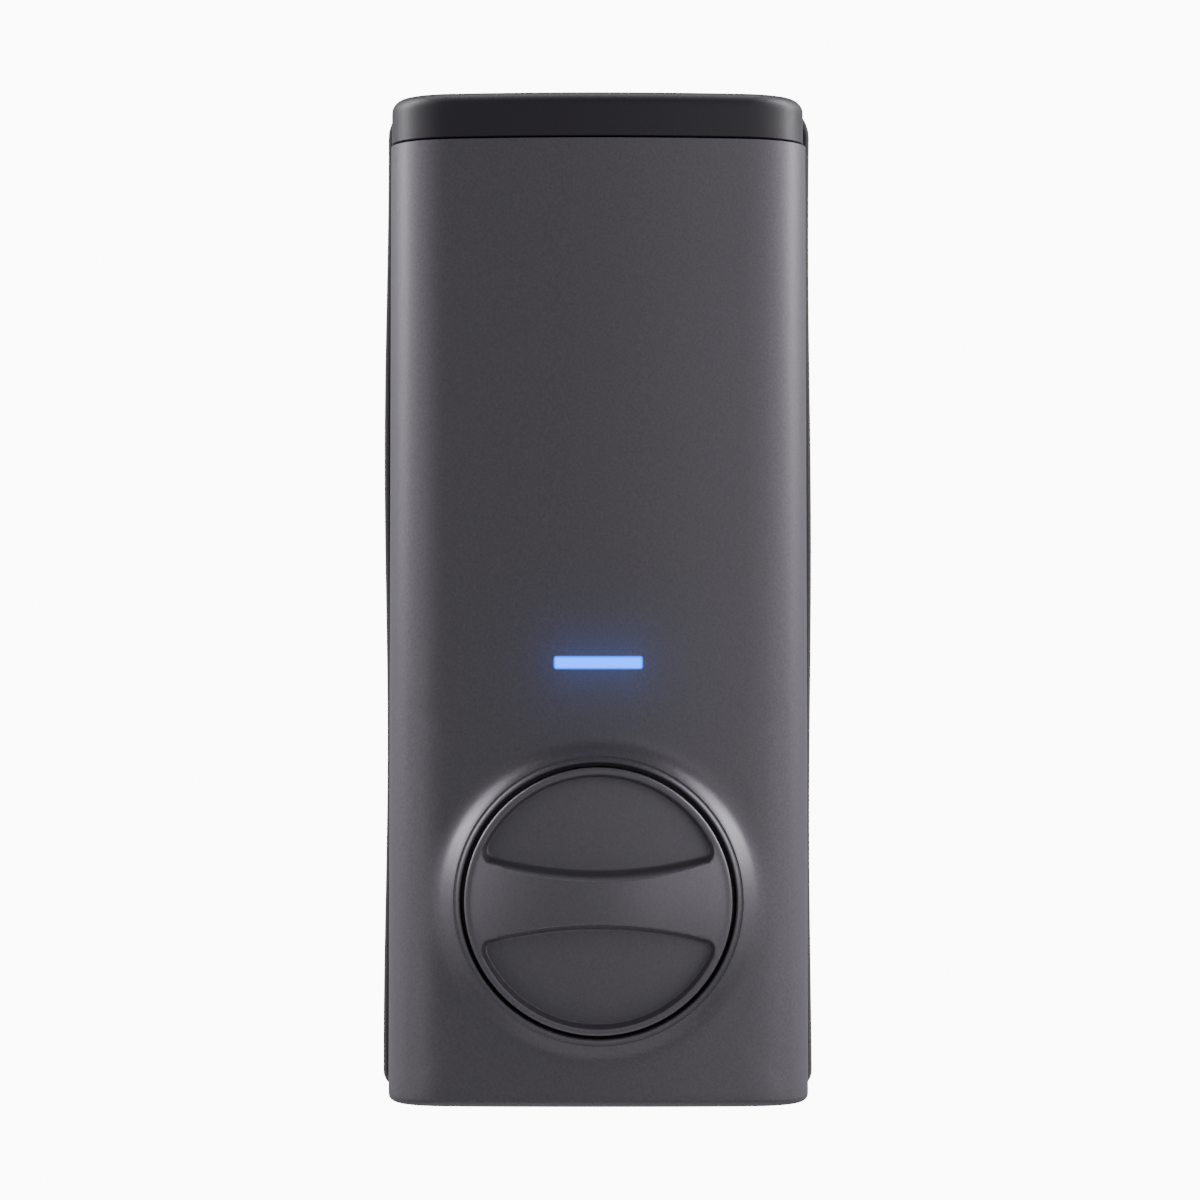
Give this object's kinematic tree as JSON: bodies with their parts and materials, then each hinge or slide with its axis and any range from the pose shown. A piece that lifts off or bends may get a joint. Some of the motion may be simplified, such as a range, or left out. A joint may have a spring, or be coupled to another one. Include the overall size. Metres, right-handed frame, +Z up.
{
  "type": "motorised deadbolt inside unit",
  "caption": "Inside unit of a motorised deadbolt: crowned tall cover, thumbturn with a grip bar, status light, battery drawer under a dark cap, gear train and door plate.",
  "frame": {"origin": "middle of the mounting plate's back face, which lies on the door", "axes": "+Z up along the tall body, +Y into the door, -Y out into the room, +X to the right seen from the room"},
  "size_m": [0.0742, 0.039, 0.1694],
  "materials": {
    "paint": "satin",
    "cap_plastic": "satin",
    "gasket_rubber": "matte",
    "nylon": "matte",
    "zinc": "satin",
    "steel": "polished",
    "sintered_steel": "satin",
    "brass": "polished",
    "bronze": "satin",
    "nickel": "polished",
    "circuit": "satin",
    "chip": "matte",
    "shield": "satin",
    "socket": "matte",
    "light_guide": "lit blue",
    "led": "satin",
    "magnet": "polished",
    "cell_sleeve": "satin",
    "red_lead": "satin",
    "black_lead": "satin"
  },
  "bodies": {
    "housing": {"front_cover": "paint", "door_gasket": "gasket_rubber", "chassis": "nylon", "gearbox_cover": "nylon", "mounting_plate": "zinc", "light_guide": "light_guide", "main_board": "circuit", "status_led_strip": "led", "processor": "chip", "radio_module": "shield", "buzzer": "chip", "keypad_socket": "socket", "sensor_board": "circuit", "motor": "shield", "axle_a": "steel", "axle_b": "steel", "spindle_bush_front": "bronze", "spindle_bush_rear": "bronze", "battery_lead_red": "red_lead", "battery_lead_black": "black_lead", "motor_lead_red": "red_lead", "motor_lead_black": "black_lead", "hall_sensor_1": "chip", "hall_sensor_2": "chip", "hall_sensor_3": "chip", "cover_screw_1": "zinc", "cover_screw_2": "zinc", "cover_screw_3": "zinc", "cover_screw_4": "zinc", "retaining_screw_1": "zinc", "retaining_screw_2": "zinc", "bay_terminal_left": "nickel", "bay_terminal_right": "nickel"},
    "thumbturn": {"knob": "paint", "spindle": "zinc", "output_gear": "sintered_steel", "position_magnet": "magnet", "knob_screw": "zinc", "retaining_ring": "steel"},
    "second_gear": {"gear_b": "sintered_steel"},
    "first_gear": {"gear_a": "sintered_steel"},
    "motor_rotor": {"motor_pinion": "brass", "motor_shaft": "steel"},
    "battery_drawer": {"top_cap": "cap_plastic", "battery_tray": "nylon", "lower_contact": "nickel", "upper_contact_left": "nickel", "upper_contact_right": "nickel", "tray_terminal_left": "nickel", "tray_terminal_right": "nickel", "cap_screw_1": "zinc", "cap_screw_2": "zinc", "battery_1": "cell_sleeve", "battery_2": "cell_sleeve", "battery_3": "cell_sleeve", "battery_4": "cell_sleeve", "contact_spring_1": "nickel", "contact_spring_2": "nickel", "contact_spring_3": "nickel", "contact_spring_4": "nickel"}
  },
  "joints": [
    {"name": "knob_turn", "type": "hinge", "parent": "housing", "child": "thumbturn", "pos_m": [0, 0, -0.05], "axis": [0, 1, 0], "range_deg": [-90, 90]},
    {"name": "second_gear_spin", "type": "hinge", "parent": "housing", "child": "second_gear", "pos_m": [0.01895, 0, -0.03806], "axis": [0, 1, 0], "range_deg": [-335, 335]},
    {"name": "first_gear_spin", "type": "hinge", "parent": "housing", "child": "first_gear", "pos_m": [0.01701, 0, -0.02561], "axis": [0, 1, 0], "range_deg": [-870, 870]},
    {"name": "motor_spin", "type": "hinge", "parent": "housing", "child": "motor_rotor", "pos_m": [0.019, 0, -0.015], "axis": [0, 1, 0], "range_deg": [-2250, 2250]},
    {"name": "drawer_slide", "type": "slide", "parent": "housing", "child": "battery_drawer", "axis": [0, 0, 1], "range_m": [0, 0.058]}
  ],
  "couplings": [
    {"joint": "second_gear_spin", "follows": "knob_turn", "ratio": -3.6667},
    {"joint": "first_gear_spin", "follows": "knob_turn", "ratio": 9.5333},
    {"joint": "motor_spin", "follows": "knob_turn", "ratio": -24.787}
  ]
}
